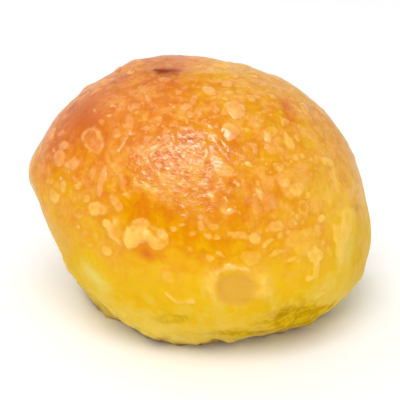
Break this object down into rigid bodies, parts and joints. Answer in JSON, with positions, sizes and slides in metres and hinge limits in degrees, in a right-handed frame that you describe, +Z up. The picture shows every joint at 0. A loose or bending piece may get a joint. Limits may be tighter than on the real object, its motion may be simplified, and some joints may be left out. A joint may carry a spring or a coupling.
{
  "type": "bread roll",
  "caption": "Small round glazed bread roll with a leaning dome, an undercut side and a blistered crust.",
  "frame": {"origin": "middle of the roll's plan box, on the flat foot it was baked on", "axes": "+Z up from the foot to the crown, -Y to the front, +X to the right, along the longest side"},
  "size_m": [0.0722, 0.0696, 0.0518],
  "materials": {
    "crust": "egg-washed golden crust, glossy on top, browner towards the upper left, paler and yellower near the foot"
  },
  "bodies": {
    "root": {"roll": "crust"}
  },
  "joints": []
}
